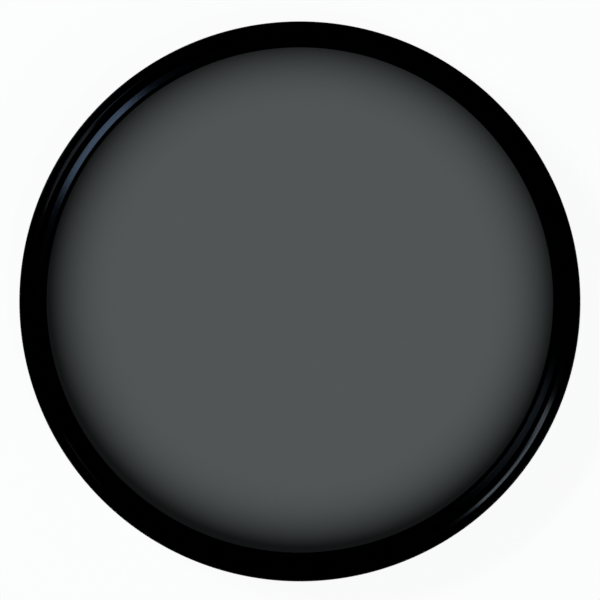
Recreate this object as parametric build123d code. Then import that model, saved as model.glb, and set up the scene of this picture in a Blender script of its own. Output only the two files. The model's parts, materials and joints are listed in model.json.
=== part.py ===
"""Neutral density filter for a camera lens: a turned ring, a disc of grey glass and the ring that holds it.

Millimetres. The optical axis is +Z, towards the subject. The origin is on that axis, at the rear end face.
Radii run from the thread inwards and outwards, so that another thread diameter gives a whole new filter.
"""

import os
from math import cos, pi, radians, sin, tan

from build123d import *

# Thread: the male one behind screws into the lens, and the female one in front takes the next filter
thread_diameter = 77.0
thread_pitch = 0.75
root_share = 0.6134  # of the pitch, from the nominal radius in to the root of a male thread
crest_share = 0.43  # of the pitch, from the nominal radius in to the crest of a female thread

# Rear thread
rear_length = 2.6  # from the end face to the shoulder
relief_width = 0.5
relief_below_root = 0.12
bore_break = 0.3

# Flange, from the shoulder to the rim
lip_overhang = 1.5  # from the thread's outside to the lip's
lip_height = 1.0
grip_step = 0.3  # how far the grip is turned down below the lip
edge_break = 0.2

# Knurl of the grip, between two plain bands
groove_pitch = 1.04
groove_depth = 0.24
groove_angle = 90.0
groove_overcut = 0.2  # how far the cutter stands out of the grip
lower_band = 0.6
upper_band = 0.25

# Front mouth: a rounding inside the rim that runs out into the conical lead of the thread
mouth_rounding = 0.45
lead_angle = 30.0
lead_past_thread = 0.225  # from the outside of the thread out to the start of the lead
front_depth = 2.5  # from the retaining ring to the rim
runout_width = 0.4  # groove at the bottom of the front thread
runout_depth = 0.1  # beyond the outside of the thread

# Seats inside the ring, each a step in from the one before
retainer_step = 0.4  # from the crest of the front thread in to the retaining ring's bore
retainer_play = 0.02  # round the retaining ring, where the real one has a fine thread
glass_step = 0.76  # from the outside of the retaining ring in to the edge of the glass
glass_play = 0.05
ledge_width = 0.4  # under the glass
web = 0.7  # between the shoulder and the step that stops the retaining ring
clamp_gap = 0.1  # how far the glass stands above that step, so that it is what gets clamped

glass_thickness = 1.6
glass_bevel = 0.15

# Retaining ring
retainer_width = 1.46
retainer_thickness = 0.9
retainer_land = 0.15  # height of the wall at the opening
retainer_bevel = 0.55
retainer_edge = 0.06
retainer_slope = 12.0  # degrees that the face falls towards the glass
notch_count = 2
notch_width = 1.2
notch_depth = 0.45

thread_radius = thread_diameter / 2
root_radius = thread_radius - root_share * thread_pitch
crest_radius = thread_radius - crest_share * thread_pitch
relief_radius = root_radius - relief_below_root
lip_radius = thread_radius + lip_overhang
grip_radius = lip_radius - grip_step
retainer_bore_radius = crest_radius - retainer_step
retainer_radius = retainer_bore_radius - retainer_play
opening_radius = retainer_radius - retainer_width
glass_radius = retainer_radius - glass_step
seat_radius = glass_radius + glass_play
aperture_radius = glass_radius - ledge_width

# Heights above the rear end face
shoulder_z = rear_length
retainer_stop_z = shoulder_z + web
retainer_z = retainer_stop_z + clamp_gap
retainer_face_z = retainer_z + retainer_thickness
glass_z = retainer_z - glass_thickness
rim_z = retainer_face_z + front_depth
lip_z = rim_z - lip_height
grip_bottom_z = shoulder_z + lower_band
grip_top_z = lip_z - grip_step - upper_band


def turned(outline):
    """The solid that a closed outline, with radius across and height up, sweeps round the optical axis."""
    section = Plane.XZ * make_face(outline.edges())
    return revolve(section, axis=Axis.Z)


def knurl_grooves():
    """The V grooves of the grip, as upright prisms whose inner edges are the bottoms of the grooves."""
    count = round(2 * pi * grip_radius / groove_pitch)
    reach = groove_depth + groove_overcut
    half_width = reach * tan(radians(groove_angle / 2))
    with BuildPart() as cutters:
        with BuildSketch(Plane.XY.offset(grip_bottom_z)):
            with PolarLocations(grip_radius - groove_depth, count):
                Polygon((0, 0), (reach, -half_width), (reach, half_width), align=None)
        extrude(amount=grip_top_z - grip_bottom_z)
    return cutters.part


def make_mount_ring():
    """The outline runs up the outside from the rear end face, over the rim and down the stepped bore."""
    thread_lead = thread_radius - root_radius
    lead = radians(lead_angle)
    lead_radius = thread_radius + lead_past_thread
    lead_z = rim_z - mouth_rounding * (1 - cos(lead)) - (lead_radius - crest_radius) * tan(lead)
    outside = Polyline(
        (aperture_radius + bore_break, 0),
        (root_radius, 0),
        (thread_radius, thread_lead),
        (thread_radius, shoulder_z - relief_width),
        (relief_radius, shoulder_z - relief_width),
        (relief_radius, shoulder_z),
        (grip_radius - edge_break, shoulder_z),
        (grip_radius, shoulder_z + edge_break),
        (grip_radius, lip_z - grip_step),
        (lip_radius, lip_z),
        (lip_radius, rim_z - edge_break),
        (lip_radius - edge_break, rim_z),
        (lead_radius + mouth_rounding * sin(lead), rim_z),
    )
    mouth = JernArc(outside @ 1, (-1, 0), mouth_rounding, lead_angle)
    bore = Polyline(
        mouth @ 1,
        (crest_radius, lead_z),
        (crest_radius, retainer_face_z + runout_width),
        (thread_radius + runout_depth, retainer_face_z + runout_width),
        (thread_radius + runout_depth, retainer_face_z),
        (retainer_bore_radius, retainer_face_z),
        (retainer_bore_radius, retainer_stop_z),
        (seat_radius, retainer_stop_z),
        (seat_radius, glass_z),
        (aperture_radius, glass_z),
        (aperture_radius, bore_break),
        outside @ 0,
    )
    return turned(outside + mouth + bore) - knurl_grooves()


def make_nd_glass():
    """A flat disc with a small bevel round both faces."""
    outline = Polyline(
        (0, glass_z),
        (glass_radius - glass_bevel, glass_z),
        (glass_radius, glass_z + glass_bevel),
        (glass_radius, retainer_z - glass_bevel),
        (glass_radius - glass_bevel, retainer_z),
        (0, retainer_z),
        close=True,
    )
    return turned(outline)


def spanner_notches():
    """Square slots across the face of the retaining ring, open at the top and at both sides."""
    height = 2 * notch_depth  # half of it stands above the face
    with BuildPart() as slots:
        with Locations((0, 0, retainer_face_z)):
            with PolarLocations(retainer_radius - retainer_width / 2, notch_count, start_angle=90):
                Box(2 * retainer_width, notch_width, height)
    return slots.part


def make_retaining_ring():
    """A thin ring with a wide bevel round its opening and a face that slopes a little towards the glass."""
    face_inner = opening_radius + retainer_bevel
    face_outer = retainer_radius - retainer_edge
    face_drop = (face_outer - face_inner) * tan(radians(retainer_slope))
    outline = Polyline(
        (opening_radius, retainer_z),
        (retainer_radius, retainer_z),
        (retainer_radius, retainer_face_z - retainer_edge),
        (face_outer, retainer_face_z),
        (face_inner, retainer_face_z - face_drop),
        (opening_radius, retainer_z + retainer_land),
        close=True,
    )
    return turned(outline) - spanner_notches()


nodes = {
    "mount_ring": make_mount_ring(),
    "nd_glass": make_nd_glass(),
    "retaining_ring": make_retaining_ring(),
}

os.makedirs("parts", exist_ok=True)
for name, solid in nodes.items():
    export_step(solid, f"parts/{name}.step")
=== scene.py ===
"""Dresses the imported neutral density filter: the turned ring with its real threads, the grey glass and the
retaining ring, under the light and from the angle of the reference photograph. Metres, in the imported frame.
"""

import json
from math import atan2, cos, hypot, radians, sin, tan, tau

import bmesh
import bpy
from mathutils import Matrix, Vector


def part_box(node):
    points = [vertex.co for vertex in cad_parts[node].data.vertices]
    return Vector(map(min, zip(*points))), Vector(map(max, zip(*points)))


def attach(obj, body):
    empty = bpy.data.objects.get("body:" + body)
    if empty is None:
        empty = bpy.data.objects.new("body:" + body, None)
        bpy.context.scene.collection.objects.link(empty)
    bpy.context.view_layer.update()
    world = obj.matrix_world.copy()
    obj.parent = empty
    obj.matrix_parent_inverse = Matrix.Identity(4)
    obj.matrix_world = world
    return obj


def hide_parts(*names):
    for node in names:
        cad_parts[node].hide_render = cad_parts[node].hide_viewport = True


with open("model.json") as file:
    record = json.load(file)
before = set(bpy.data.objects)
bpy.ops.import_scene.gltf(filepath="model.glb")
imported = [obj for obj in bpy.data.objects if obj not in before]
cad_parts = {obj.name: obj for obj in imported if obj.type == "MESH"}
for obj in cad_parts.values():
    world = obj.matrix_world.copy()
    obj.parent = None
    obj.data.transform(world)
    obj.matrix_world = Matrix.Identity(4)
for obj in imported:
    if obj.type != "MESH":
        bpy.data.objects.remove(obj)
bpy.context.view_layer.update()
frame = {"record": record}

MM = 0.001
MERGE = 0.004 * MM  # vertices this close become one
SHARP = radians(32)  # folds from here on are shaded as edges

mounts = {mount["name"]: mount for mount in frame["record"]["mounts"]}
ring_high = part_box("mount_ring")[1]
glass_low, glass_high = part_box("nd_glass")
retainer_low, retainer_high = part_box("retaining_ring")

# Thread, the same at both ends
pitch = 0.75 * MM
thread_radius = mounts["rear_thread"]["dims"]["r_mm"] * MM
crest_radius = mounts["front_thread"]["dims"]["r_mm"] * MM
root_share = 0.6134  # of the pitch, from the outside of a male thread in to its root
root_radius = thread_radius - root_share * pitch
relief_radius = root_radius - 0.12 * MM
thread_start = radians(67.5)  # how far the front helix is turned

# Radii of the ring
lip_radius = thread_radius + 1.5 * MM
grip_step = 0.3 * MM
grip_radius = lip_radius - grip_step
runout_radius = thread_radius + 0.1 * MM
retainer_bore = crest_radius - 0.4 * MM
retainer_outside = retainer_bore - 0.02 * MM
glass_radius = glass_high.x
seat_radius = glass_radius + 0.05 * MM
aperture_radius = glass_radius - 0.4 * MM

# Heights of the ring
rim_z = ring_high.z
shoulder_z = 2.6 * MM
relief_z = shoulder_z - 0.5 * MM
lip_z = rim_z - 1.0 * MM
runout_top_z = retainer_high.z + 0.4 * MM
stop_z = retainer_low.z - 0.1 * MM
edge_break = 0.2 * MM
bore_break = 0.3 * MM

# Front mouth: a rounding inside the rim that runs out into the conical lead of the thread
mouth_rounding = 0.45 * MM
lead = radians(30)
lead_radius = thread_radius + 0.225 * MM
mouth_z = rim_z - mouth_rounding * (1 - cos(lead))
lead_z = mouth_z - (lead_radius - crest_radius) * tan(lead)
thread_top_z = lead_z + (thread_radius - crest_radius) * tan(lead)  # the lead meets the thread's outside
mouth_tangent = mouth_rounding * tan(lead / 2)  # from an end of the rounding to where its tangents meet
mouth_facets = 6

# Knurl: one groove in every four columns of the ring's mesh
groove_count = 240
columns_per_groove = 4
columns = groove_count * columns_per_groove
sectors = 24
groove_depth = 0.24 * MM
groove_low_z = shoulder_z + 0.6 * MM
groove_high_z = lip_z - grip_step - 0.25 * MM
groove_end = 0.02 * MM

# Small roundings of edges that the solids leave sharp
edge_rounding = 0.03 * MM
bore_rounding = 0.05 * MM
rounding_facets = 3
retainer_rounding = 0.015 * MM
retainer_rounding_facets = 4

# Retaining ring
retainer_width = 1.46 * MM
retainer_land = 0.15 * MM
retainer_bevel = 0.55 * MM
retainer_edge = 0.06 * MM
retainer_slope = radians(12)
notch_width = 1.2 * MM
notch_length = 3 * MM  # more than the width of the ring, so that the notch is open at both sides
notch_height = 0.9 * MM  # half of it stands above the face

# Anodised finish
grain_share = 0.25  # how much of the bump is grain
cloud_share = 0.7  # of the colour, in the darker of its faint clouds
roughness_spread = 0.04

# Glass
glass_bevel = 0.15 * MM
glass_corners = 480
glass_tint = (0.298, 0.312, 0.316)
glass_cloud = 1.015  # how much lighter the lightest of its faint clouds are
glass_shine = 0.0125  # share of the light that it mirrors when seen straight on
painted_shade_share = 0.28  # of the tint, at the very edge: painted shade
shade_start, shade_end = 24.0, 36.3  # mm, where the painted shade on the glass begins and where it is darkest
shade_curve = 3.4
shade_shift = (0.3, 0.75, 0)  # mm, from the axis to the centre of the painted shade, which lies off the axis so that one side of the glass is darker

# Floor
floor_radius = 3
floor_corners = 96
floor_glow = 0.93
floor_glow_in_reflections = 0.1

softbox_distance = 0.9

# Camera, as the photograph has it
PHOTO_SIDE = 600
LIP_PIXELS = 280.7  # radius of the rim in the photograph
camera_distance = 0.6  # to the rim
camera_tilt = radians(3.5)
photo_centre = (299.87, 301.17)  # of the rim's outline, in pixels from the upper left corner
outline_z = 3.4 * MM  # mean height of the edges that make the outline


def wire(bm, points, *roundings):
    """An open wire through (radius, height) points in the XZ plane. Each rounding is (corners, reach,
    segments): it rolls off those corners, from a reach before them to a reach after them."""
    verts = [bm.verts.new((r, 0, z)) for r, z in points]
    for pair in zip(verts, verts[1:]):
        bm.edges.new(pair)
    for corners, reach, segments in roundings:
        bmesh.ops.bevel(
            bm,
            geom=[verts[i] for i in corners],
            offset=reach,
            segments=segments,
            profile=0.5,
            affect="VERTICES",
            material=-1,
        )


def sweep(bm, turn_rise=0.0):
    """Sweeps the wires in bm once round the axis, rising by turn_rise: one sector, then its copies."""
    bmesh.ops.spin(
        bm,
        geom=bm.verts[:] + bm.edges[:],
        cent=(0, 0, 0),
        axis=(0, 0, 1),
        dvec=(0, 0, turn_rise / columns),
        angle=tau / sectors,
        steps=columns // sectors,
    )
    bmesh.ops.spin(
        bm,
        geom=bm.verts[:] + bm.edges[:] + bm.faces[:],
        cent=(0, 0, 0),
        axis=(0, 0, 1),
        dvec=(0, 0, turn_rise / sectors),
        angle=tau * (sectors - 1) / sectors,
        steps=sectors - 1,
        use_duplicate=True,
    )
    bmesh.ops.remove_doubles(bm, verts=bm.verts, dist=MERGE)


def join(bm, other):
    """Adds the mesh of other to bm and frees other."""
    mesh = bpy.data.meshes.new("joined")
    other.to_mesh(mesh)
    other.free()
    bm.from_mesh(mesh)
    bpy.data.meshes.remove(mesh)


def thread_wall(bm, root, crest, low_z, high_z, trim, start=0.0):
    """A threaded wall from low_z to high_z. Its rows follow the helix, which is turned by start, and
    trim(radius, height) gives each vertex its place, so that the rows past either end gather on that end's
    circle and merge."""
    flat_root, flat_crest = pitch / 4, pitch / 8
    flank = (pitch - flat_root - flat_crest) / 2
    one_turn = [
        (root, 0),
        (root, flat_root),
        (root + (crest - root) / 3, flat_root + flank / 3),
        (root + (crest - root) * 2 / 3, flat_root + flank * 2 / 3),
        (crest, flat_root + flank),
        (crest, flat_root + flank + flat_crest),
        (root + (crest - root) * 2 / 3, pitch - flank * 2 / 3),
        (root + (crest - root) / 3, pitch - flank / 3),
    ]
    spare_turns = 3  # the helix starts a turn too low and ends past the top
    turns = int((high_z - low_z) / pitch) + spare_turns
    points = [(r, low_z + (turn - 1) * pitch + z) for turn in range(turns) for r, z in one_turn]
    wall = bmesh.new()
    wire(wall, points)
    sweep(wall, pitch)
    bmesh.ops.rotate(wall, matrix=Matrix.Rotation(start, 3, "Z"), verts=wall.verts)
    for v in wall.verts:
        radius = hypot(v.co.x, v.co.y)
        new_radius, v.co.z = trim(radius, v.co.z)
        v.co.x *= new_radius / radius
        v.co.y *= new_radius / radius
    join(bm, wall)


def front_trim(radius, z):
    """The front thread's crests end on the lead, and its bottom in the run-out groove."""
    if z <= runout_top_z:
        return runout_radius, runout_top_z
    z = min(z, thread_top_z)
    return max(radius, crest_radius + (z - lead_z) / tan(lead)), z


def rear_trim(radius, z):
    """The rear thread starts on a bevel of its own depth and ends at the relief."""
    if z >= relief_z:
        return relief_radius, relief_z
    z = max(z, 0)
    return min(radius, root_radius + z), z


def cut_knurl(bm):
    """Moves the bottoms of the grip's V grooves in towards the axis."""
    bottoms = []
    for v in bm.verts:
        on_grip = abs(hypot(v.co.x, v.co.y) - grip_radius) < MERGE
        column = round(atan2(v.co.y, v.co.x) / tau * columns)
        if on_grip and groove_low_z < v.co.z < groove_high_z and column % columns_per_groove == 0:
            bottoms.append(v)
    scale = 1 - groove_depth / grip_radius
    bmesh.ops.scale(bm, vec=(scale, scale, 1), verts=bottoms)


def finish_piece(name, bm, material, node):
    """Merges the mesh's seams, shades it and sets it in the frame in place of a CAD node."""
    bmesh.ops.remove_doubles(bm, verts=bm.verts, dist=MERGE)
    bmesh.ops.dissolve_degenerate(bm, edges=bm.edges, dist=MERGE)
    bmesh.ops.recalc_face_normals(bm, faces=bm.faces)
    for face in bm.faces:
        face.smooth = True
    for edge in bm.edges:
        edge.smooth = edge.calc_face_angle(0) < SHARP
    open_edges = sum(not edge.is_manifold for edge in bm.edges)
    print(name, "faces", len(bm.faces), "open edges", open_edges)
    mesh = bpy.data.meshes.new(name)
    bm.to_mesh(mesh)
    bm.free()
    mesh.materials.append(material)
    piece = bpy.data.objects.new(name, mesh)
    bpy.context.collection.objects.link(piece)
    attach(piece, "root")
    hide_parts(node)
    return piece


def make_ring(material):
    """The turned ring: outside, bore and both threads as one surface."""
    ring = bmesh.new()
    outside = bmesh.new()
    wire(
        outside,
        [
            (relief_radius, relief_z),
            (relief_radius, shoulder_z),
            (grip_radius - edge_break, shoulder_z),
            (grip_radius, shoulder_z + edge_break),
            (grip_radius, groove_low_z),
            (grip_radius, groove_low_z + groove_end),
            (grip_radius, groove_high_z - groove_end),
            (grip_radius, groove_high_z),
            (grip_radius, lip_z - grip_step),
            (lip_radius, lip_z),
            (lip_radius, rim_z - edge_break),
            (lip_radius - edge_break, rim_z),
            (lead_radius + mouth_tangent * cos(lead), rim_z),
            (thread_radius, thread_top_z),
        ],
        ((2, 3, 9, 10, 11), edge_rounding, rounding_facets),
        ((12,), mouth_tangent, mouth_facets),
    )
    sweep(outside)
    join(ring, outside)
    bore = bmesh.new()
    wire(
        bore,
        [
            (runout_radius, runout_top_z),
            (runout_radius, retainer_high.z),
            (retainer_bore, retainer_high.z),
            (retainer_bore, stop_z),
            (seat_radius, stop_z),
            (seat_radius, glass_low.z),
            (aperture_radius, glass_low.z),
            (aperture_radius, bore_break),
            (aperture_radius + bore_break, 0),
            (root_radius, 0),
        ],
        ((6, 7, 8), bore_rounding, rounding_facets),
    )
    sweep(bore)
    join(ring, bore)
    thread_wall(ring, thread_radius, crest_radius, runout_top_z, thread_top_z, front_trim, thread_start)
    thread_wall(ring, root_radius, thread_radius, 0, relief_z, rear_trim)
    bmesh.ops.remove_doubles(ring, verts=ring.verts, dist=MERGE)
    cut_knurl(ring)
    even_shading(finish_piece("turned_ring", ring, material, "mount_ring"))


def make_retainer(material):
    """The thin ring over the glass, its face sloped a little inwards, with two notches for a spanner."""
    low, high = retainer_low.z, retainer_high.z
    opening = retainer_outside - retainer_width
    face_inner = opening + retainer_bevel
    face_outer = retainer_outside - retainer_edge
    face_drop = (face_outer - face_inner) * tan(retainer_slope)
    section = [
        (retainer_outside, high - retainer_edge),
        (face_outer, high),
        (face_inner, high - face_drop),
        (opening, low + retainer_land),
        (opening, low),
        (retainer_outside, low),
    ]
    ring = bmesh.new()
    wire(ring, section + section[:1], ((1, 2, 3), retainer_rounding, retainer_rounding_facets))
    sweep(ring)
    cutter = bmesh.new()
    for side in (1, -1):
        cube = bmesh.ops.create_cube(cutter, size=1)["verts"]
        bmesh.ops.scale(cutter, vec=(notch_width, notch_length, notch_height), verts=cube)
        middle = side * (retainer_outside - retainer_width / 2)
        bmesh.ops.translate(cutter, vec=(0, middle, high), verts=cube)
    piece = finish_piece("retaining_ring_turned", ring, material, "retaining_ring")
    cut_mesh = bpy.data.meshes.new("notch_cutter")
    cutter.to_mesh(cut_mesh)
    cutter.free()
    cut = bpy.data.objects.new("notch_cutter", cut_mesh)
    bpy.context.collection.objects.link(cut)
    boolean = piece.modifiers.new("notches", "BOOLEAN")
    boolean.object = cut
    boolean.operation = "DIFFERENCE"
    boolean.solver = "EXACT"
    apply_modifiers(piece)
    bpy.data.objects.remove(cut)
    even_shading(piece)


def apply_modifiers(piece):
    """Bakes a piece's modifiers into its mesh."""
    evaluated = piece.evaluated_get(bpy.context.evaluated_depsgraph_get())
    mesh = bpy.data.meshes.new_from_object(evaluated)
    piece.modifiers.clear()
    piece.data = mesh


def even_shading(piece):
    """Weighs the shading by the size of the faces, so that a wide face stays even beside the narrow facets
    of a rounded edge. The modifier passes over faces this small, so it works on the mesh in millimetres."""
    piece.data.transform(Matrix.Scale(1 / MM, 4))
    piece.modifiers.new("even_faces", "WEIGHTED_NORMAL").keep_sharp = True
    apply_modifiers(piece)
    piece.data.transform(Matrix.Scale(MM, 4))


def make_glass(material):
    """The grey disc, with a small bevel round both faces."""
    thickness = glass_high.z - glass_low.z
    bm = bmesh.new()
    bmesh.ops.create_circle(bm, cap_ends=True, radius=glass_radius, segments=glass_corners)
    bmesh.ops.translate(bm, vec=(0, 0, glass_low.z), verts=bm.verts)
    top = bmesh.ops.extrude_face_region(bm, geom=bm.faces[:])["geom"]
    raised = [v for v in top if isinstance(v, bmesh.types.BMVert)]
    bmesh.ops.translate(bm, vec=(0, 0, thickness), verts=raised)
    rims = [e for e in bm.edges if abs(e.verts[0].co.z - e.verts[1].co.z) < MERGE]
    bmesh.ops.bevel(bm, geom=rims, offset=glass_bevel, segments=1, profile=0.5, affect="EDGES", material=-1)
    finish_piece("glass_disc", bm, material, "nd_glass")


class Nodes:
    """Adds nodes to a material and links them. A socket is given by its name, or as i and its number, and a
    value may be another node's output."""

    def __init__(self, name):
        self.material = bpy.data.materials.new(name)
        self.material.use_nodes = True
        self.tree = self.material.node_tree
        self.shader = self.tree.nodes["Principled BSDF"]
        self.output = self.tree.nodes["Material Output"]

    def add(self, kind, settings=None, **inputs):
        node = self.tree.nodes.new(kind)
        for key, value in (settings or {}).items():
            setattr(node, key, value)
        self.feed(node, inputs)
        return node

    def feed(self, node, inputs):
        for key, value in inputs.items():
            index = int(key[1:]) if key[0] == "i" and key[1:].isdigit() else key.replace("_", " ")
            socket = node.inputs[index]
            if isinstance(value, bpy.types.NodeSocket):
                self.tree.links.new(value, socket)
            else:
                socket.default_value = value

    def radius(self, centre=(0, 0, 0)):
        """Distance from the optical axis, or from an upright line through centre, in millimetres."""
        place = self.add("ShaderNodeTexCoord").outputs["Object"]
        flat = self.add("ShaderNodeVectorMath", {"operation": "MULTIPLY"}, i0=place, i1=(1000, 1000, 0))
        off = self.add("ShaderNodeVectorMath", {"operation": "DISTANCE"}, i0=flat.outputs[0], i1=centre)
        return off.outputs["Value"]

    def height(self):
        """Height above the rear end face, in millimetres."""
        place = self.add("ShaderNodeTexCoord").outputs["Object"]
        z = self.add("ShaderNodeSeparateXYZ", None, Vector=place).outputs["Z"]
        return self.math("MULTIPLY", z, 1000)

    def math(self, operation, first, second=0.0):
        return self.add("ShaderNodeMath", {"operation": operation}, i0=first, i1=second).outputs[0]

    def remap(self, value, low, high, to_low, to_high, kind="LINEAR"):
        node = self.add("ShaderNodeMapRange", {"interpolation_type": kind}, Value=value)
        self.feed(node, {"From_Min": low, "From_Max": high, "To_Min": to_low, "To_Max": to_high})
        return node.outputs["Result"]


def anodised(name, colour, roughness, marks, specular, tint):
    """Black anodised aluminium over the fine marks of the lathe, whose height is marks."""
    nodes = Nodes(name)
    path = nodes.math("ADD", nodes.radius(), nodes.height())
    feed_marks = nodes.add("ShaderNodeTexNoise", {"noise_dimensions": "1D"}, W=path, Scale=9.0, Detail=3.0)
    place = nodes.add("ShaderNodeTexCoord").outputs["Object"]
    grain = nodes.add("ShaderNodeTexNoise", None, Vector=place, Scale=9000.0, Detail=2.0)
    cloud = nodes.add("ShaderNodeTexNoise", None, Vector=place, Scale=60.0, Detail=2.0)
    mark_height = nodes.math("MULTIPLY", feed_marks.outputs[0], marks)
    grain_height = nodes.math("MULTIPLY", grain.outputs[0], grain_share)
    bump = nodes.add("ShaderNodeBump", None, Strength=0.35, Distance=0.00002)
    nodes.feed(bump, {"Height": nodes.math("ADD", mark_height, grain_height)})
    dark = tuple(c * cloud_share for c in colour)
    shade = nodes.add("ShaderNodeMix", {"data_type": "RGBA"}, Factor=cloud.outputs[0])
    nodes.feed(shade, {"i6": (*dark, 1), "i7": (*colour, 1)})
    smoother, rougher = roughness - roughness_spread, roughness + roughness_spread
    rough = nodes.remap(feed_marks.outputs[0], 0.3, 0.7, smoother, rougher)
    nodes.feed(nodes.shader, {"Base_Color": shade.outputs[2], "Roughness": rough})
    nodes.feed(nodes.shader, {"Normal": bump.outputs[0]})
    nodes.feed(nodes.shader, {"Specular_IOR_Level": specular, "Specular_Tint": (*tint, 1)})
    return nodes.material


def grey_glass():
    """Neutral grey glass. The tint is that of one of the disc's two faces, so what lies under the disc is
    tinted twice. Towards the edge the tint deepens with painted shade, for the shadow that the ring casts on
    the floor under the glass. The shine grows with the slant of the view, the same on the way in and out, as
    the rays go straight through."""
    nodes = Nodes("grey_glass")
    # Painted shade: the tint darkens towards the edge, round a centre off the axis, for the ring's shadow on
    # the floor under the glass.
    radius = nodes.radius(shade_shift)
    edge = nodes.math("POWER", nodes.remap(radius, shade_start, shade_end, 0.0, 1.0), shade_curve)
    place = nodes.add("ShaderNodeTexCoord").outputs["Object"]
    cloud = nodes.add("ShaderNodeTexNoise", None, Vector=place, Scale=45.0, Detail=1.0)
    lighter = tuple(c * glass_cloud for c in glass_tint)
    darker = tuple(c * painted_shade_share for c in glass_tint)
    centre = nodes.add("ShaderNodeMix", {"data_type": "RGBA"}, Factor=cloud.outputs[0])
    nodes.feed(centre, {"i6": (*glass_tint, 1), "i7": (*lighter, 1)})
    # Mixes the painted edge shade into the tint.
    tint = nodes.add("ShaderNodeMix", {"data_type": "RGBA"}, Factor=edge)
    nodes.feed(tint, {"i6": centre.outputs[2], "i7": (*darker, 1)})
    clear = nodes.add("ShaderNodeBsdfTransparent", None, Color=tint.outputs[2])
    gloss = nodes.add("ShaderNodeBsdfGlossy", None, Color=(0.8, 0.9, 0.85, 1), Roughness=0.02)
    slant = nodes.add("ShaderNodeLayerWeight", None, Blend=0.5).outputs["Facing"]
    shine = nodes.remap(nodes.math("POWER", slant, 5.0), 0.0, 1.0, glass_shine, 1.0)
    mix = nodes.add("ShaderNodeMixShader")
    nodes.feed(mix, {"i0": shine, "i1": clear.outputs[0], "i2": gloss.outputs[0]})
    nodes.tree.nodes.remove(nodes.shader)
    nodes.feed(nodes.output, {"Surface": mix.outputs[0]})
    return nodes.material


def make_floor():
    """A white floor that glows, for the photograph's blown-out ground, and glows less in reflections."""
    bm = bmesh.new()
    bmesh.ops.create_circle(bm, cap_ends=True, radius=floor_radius, segments=floor_corners)
    mesh = bpy.data.meshes.new("floor")
    bm.to_mesh(mesh)
    bm.free()
    floor = bpy.data.objects.new("floor", mesh)
    bpy.context.collection.objects.link(floor)
    nodes = Nodes("floor_white")
    nodes.feed(nodes.shader, {"Base_Color": (0.9, 0.9, 0.9, 1), "Roughness": 0.9})
    nodes.feed(nodes.shader, {"Specular_IOR_Level": 0.0})
    glossy = nodes.add("ShaderNodeLightPath").outputs["Is Glossy Ray"]
    glow = nodes.remap(glossy, 0.0, 1.0, floor_glow, floor_glow_in_reflections)
    nodes.feed(nodes.shader, {"Emission_Color": (1, 1, 1, 1), "Emission_Strength": glow})
    mesh.materials.append(nodes.material)


def softbox(name, azimuth, elevation, width, height, watts, colour=(1, 1, 1)):
    """An area light aimed at the filter. Both angles are in degrees, azimuth clockwise from the
    photograph's right."""
    a, e = radians(azimuth), radians(elevation)
    place = Vector((cos(a) * cos(e), -sin(a) * cos(e), sin(e))) * softbox_distance
    light = bpy.data.lights.new(name, "AREA")
    light.shape = "RECTANGLE"
    light.size, light.size_y = width, height
    light.energy = watts
    light.color = colour
    lamp = bpy.data.objects.new(name, light)
    lamp.location = place
    lamp.rotation_mode = "QUATERNION"
    lamp.rotation_quaternion = (-place).to_track_quat("-Z", "Y")
    lamp.visible_camera = False
    bpy.context.collection.objects.link(lamp)


def make_world():
    """A dark world, so that only the softboxes and the floor light the filter. The camera alone sees it
    pale."""
    world = bpy.data.worlds.new("studio")
    world.use_nodes = True
    tree = world.node_tree
    dark = tree.nodes["Background"]
    dark.inputs["Color"].default_value = (0, 0, 0, 1)
    pale = tree.nodes.new("ShaderNodeBackground")
    pale.inputs["Color"].default_value = (0.9, 0.9, 0.9, 1)
    path = tree.nodes.new("ShaderNodeLightPath")
    mix = tree.nodes.new("ShaderNodeMixShader")
    tree.links.new(path.outputs["Is Camera Ray"], mix.inputs[0])
    tree.links.new(dark.outputs[0], mix.inputs[1])
    tree.links.new(pale.outputs[0], mix.inputs[2])
    tree.links.new(mix.outputs[0], tree.nodes["World Output"].inputs["Surface"])
    bpy.context.scene.world = world
    bpy.context.scene.view_settings.view_transform = "Standard"


def make_camera():
    """Almost straight above the rim, tilted towards the photograph's top, with +X to its right."""
    width = lip_radius * PHOTO_SIDE / LIP_PIXELS
    data = bpy.data.cameras.new("camera")
    data.sensor_width = 36
    data.lens = data.sensor_width * camera_distance / width
    camera = bpy.data.objects.new("camera", data)
    bpy.context.collection.objects.link(camera)
    back = Vector((0, sin(camera_tilt), cos(camera_tilt)))
    up = Vector((0, cos(camera_tilt), -sin(camera_tilt)))
    right = up.cross(back)
    pixel = width / PHOTO_SIDE
    offset_x = (PHOTO_SIDE / 2 - photo_centre[0]) * pixel
    offset_y = (photo_centre[1] - PHOTO_SIDE / 2) * pixel
    aim = Vector((offset_x, offset_y, outline_z))
    place = Matrix((right, up, back)).transposed().to_4x4()
    place.translation = aim + back * (camera_distance + rim_z - outline_z)
    camera.matrix_world = place
    bpy.context.scene.camera = camera


make_ring(anodised("ring_black", (0.001, 0.001, 0.0013), 0.12, 0.15, 0.3, (0.8, 0.9, 1.0)))
make_retainer(anodised("retainer_black", (0.0015, 0.002, 0.003), 0.09, 0.15, 0.5, (0.62, 0.8, 1.0)))
make_glass(grey_glass())
make_floor()
softbox("key", 46, 67, 0.115, 0.12, 0.13, (0.7, 0.81, 1.0))
softbox("key_back", 202, 71, 0.145, 0.08, 0.014)
softbox("line_back", 212, 40, 0.33, 0.08, 0.32)
softbox("lead_back", 214, 35.5, 0.4, 0.1, 0.12, (0.6, 0.85, 1.0))
softbox("lead_front", 34, 31, 0.25, 0.1, 0.1)
softbox("side_right", 328, 35.5, 0.15, 0.06, 0.012)
make_world()
make_camera()
